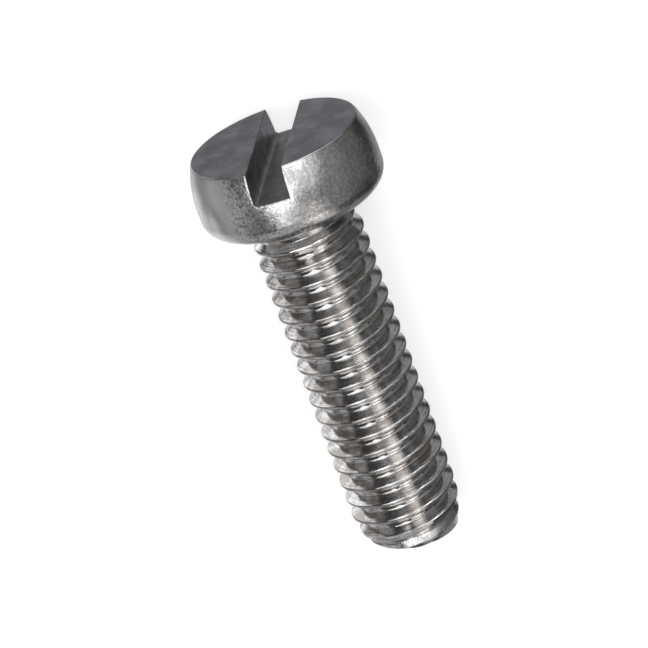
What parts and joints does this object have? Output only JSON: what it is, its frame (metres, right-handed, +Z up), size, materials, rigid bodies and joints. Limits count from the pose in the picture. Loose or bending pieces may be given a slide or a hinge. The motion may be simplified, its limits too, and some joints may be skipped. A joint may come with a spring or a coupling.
{
  "type": "machine screw",
  "caption": "Slotted cheese-head machine screw with a coarse right-hand metric thread, a ridge that fades out under the head and a rounded point.",
  "frame": {"origin": "centre of the underside of the bounding box, on the ground that the lying screw rests on", "axes": "+X along the ground from the head towards the point, +Z up, and the driver slot upright in the plane of X and Z. The screw's own axis dips 6.22 degrees below +X, because it rests on the head and on the last of the thread"},
  "size_m": [0.024, 0.0098, 0.0098],
  "materials": {
    "steel": "plain steel, smooth and bright on the rolled thread, satin and slightly scuffed on the head"
  },
  "bodies": {
    "root": {"screw": "steel"}
  },
  "joints": []
}
